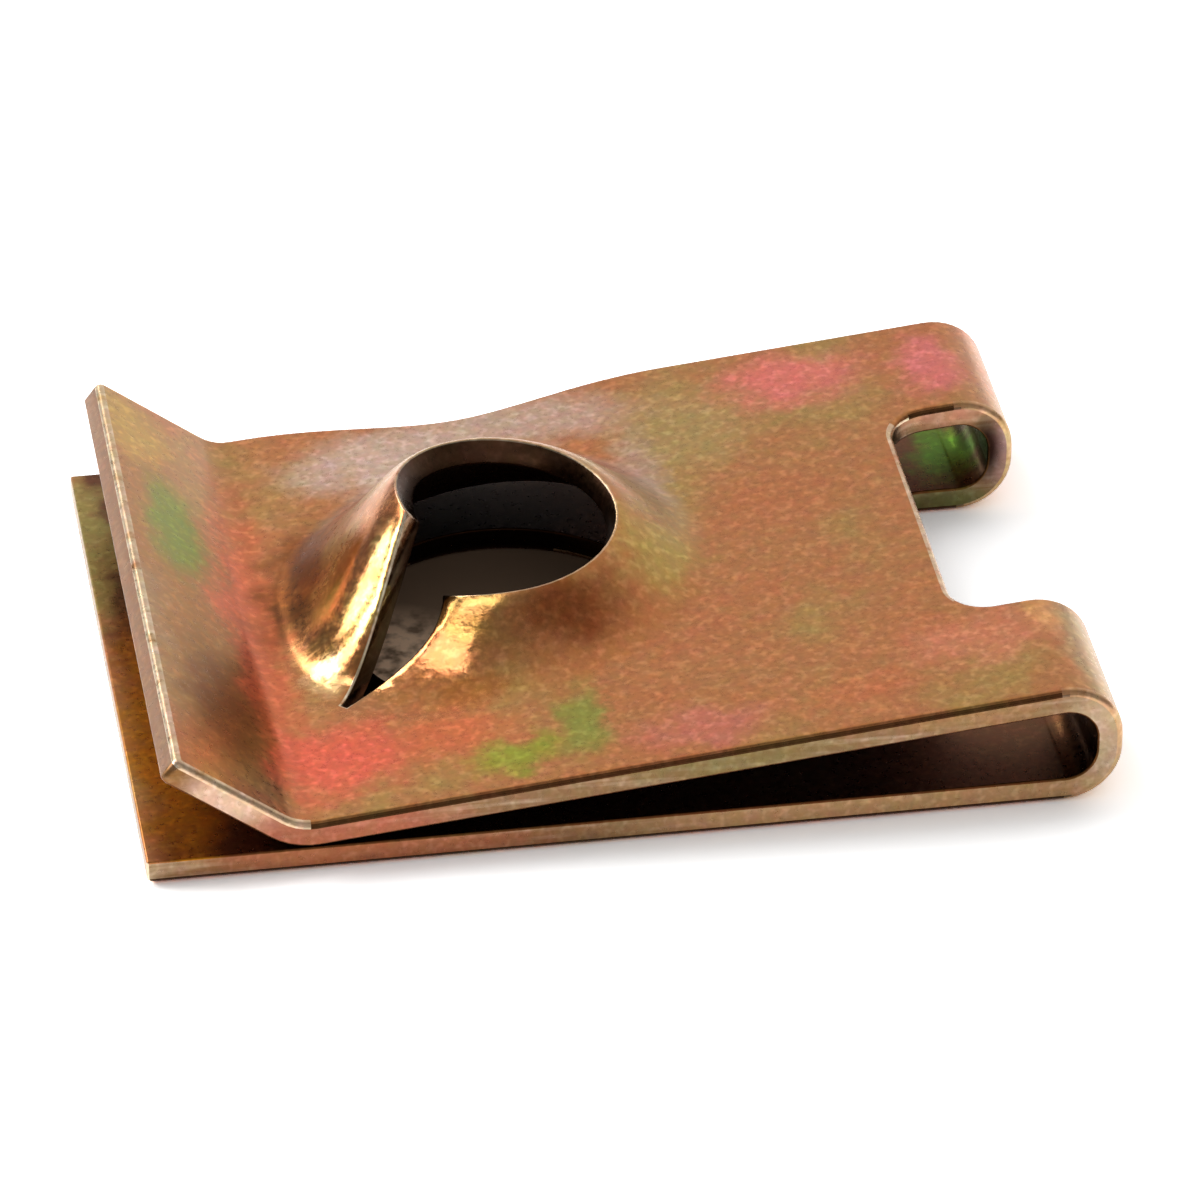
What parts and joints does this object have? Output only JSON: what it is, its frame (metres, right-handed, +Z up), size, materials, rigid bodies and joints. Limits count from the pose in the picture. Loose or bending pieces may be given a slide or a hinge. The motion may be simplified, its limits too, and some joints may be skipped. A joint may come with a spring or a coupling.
{
  "type": "u clip nut",
  "caption": "U-shaped spring steel clip nut with a raised screw thread in its upper leg, a turned-up lead-in lip and a notch through its bend.",
  "frame": {"origin": "on the screw axis, at the underside of the lower leg", "axes": "+X from the open mouth to the U bend, +Y across the width, +Z up along the screw axis from the lower leg to the raised thread"},
  "size_m": [0.0217, 0.016, 0.0042],
  "materials": {
    "spring_clip": "satin yellow zinc plate with a rainbow tint"
  },
  "bodies": {
    "root": {"spring_clip": "spring_clip"}
  },
  "joints": []
}
